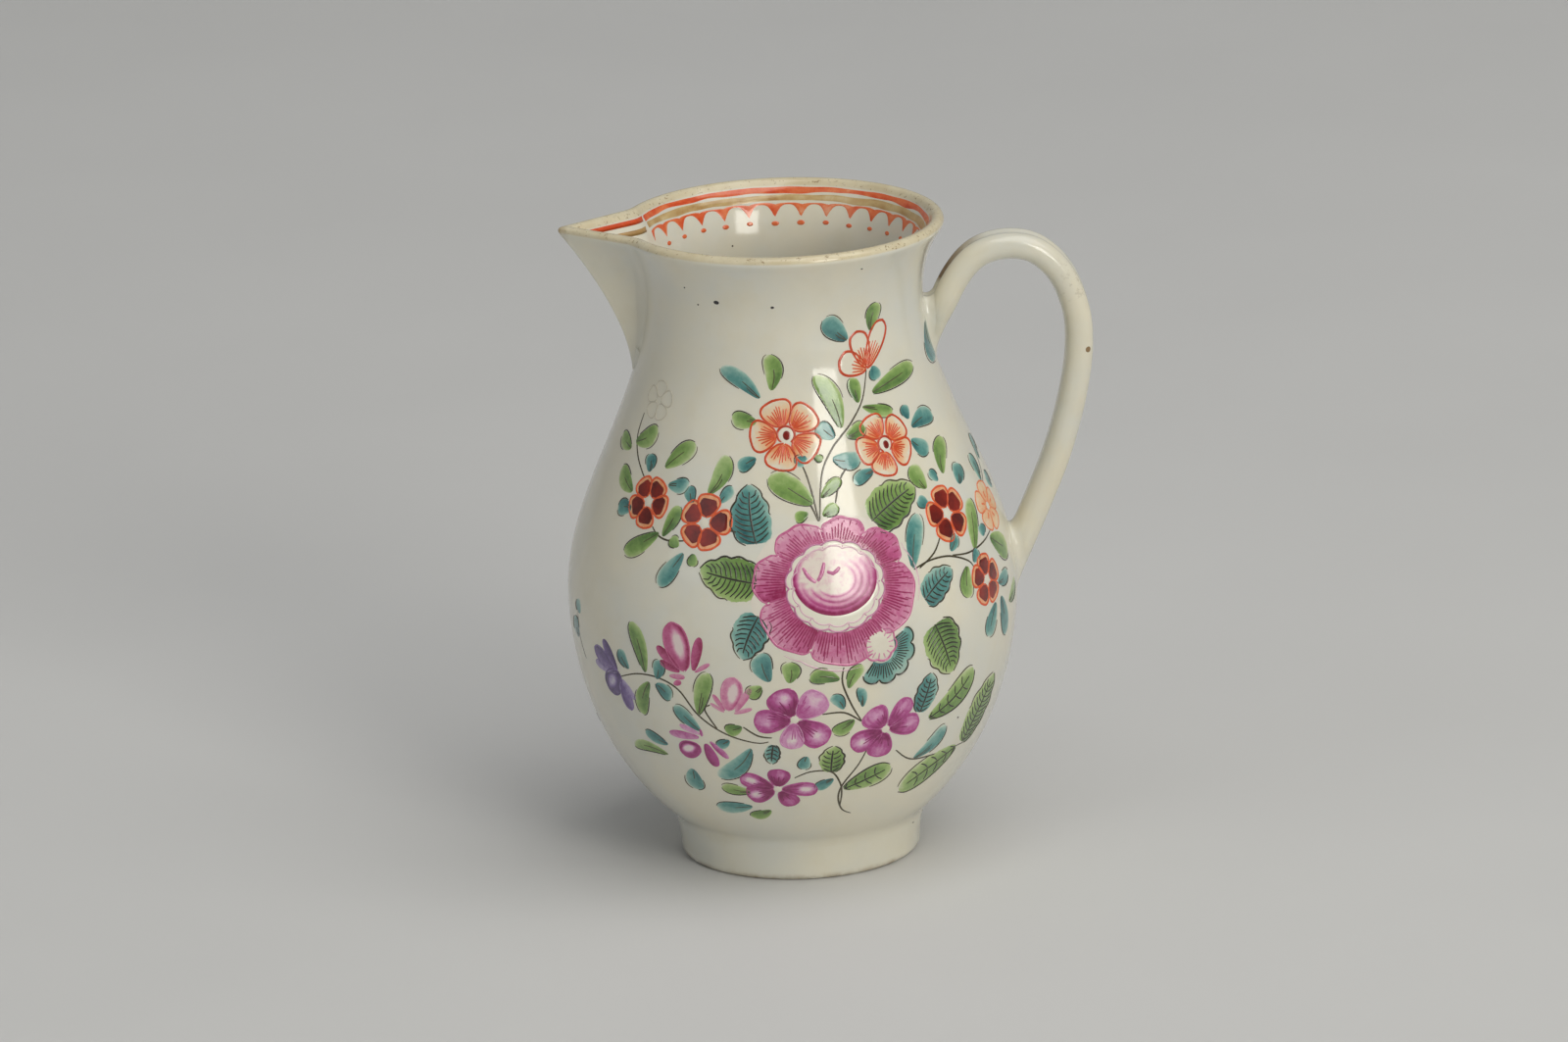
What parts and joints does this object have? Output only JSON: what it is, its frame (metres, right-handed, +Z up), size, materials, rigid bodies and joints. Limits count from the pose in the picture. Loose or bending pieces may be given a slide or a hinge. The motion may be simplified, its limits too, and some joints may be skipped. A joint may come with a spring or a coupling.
{
  "type": "cream jug",
  "caption": "Small pear-shaped porcelain cream jug with a pointed sparrow-beak spout, a grooved loop handle and a turned foot ring, painted with flowers.",
  "frame": {"origin": "on the table under the body's axis, at the centre of the foot ring's flat bottom", "axes": "+Z up along the body's axis, beak towards -X, handle towards +X; the jug is symmetric about the XZ plane"},
  "size_m": [0.0734, 0.062, 0.09],
  "materials": {
    "body": "glossy",
    "foot_ring": "glossy",
    "beak": "glossy",
    "handle": "glossy",
    "foot_slip_bead": "glossy",
    "beak_slip_seam": "glossy",
    "upper_handle_slip": "glossy",
    "lower_handle_slip": "glossy"
  },
  "bodies": {
    "root": {"body": "body", "foot_ring": "foot_ring", "beak": "beak", "handle": "handle", "foot_slip_bead": "foot_slip_bead", "beak_slip_seam": "beak_slip_seam", "upper_handle_slip": "upper_handle_slip", "lower_handle_slip": "lower_handle_slip"}
  },
  "joints": []
}
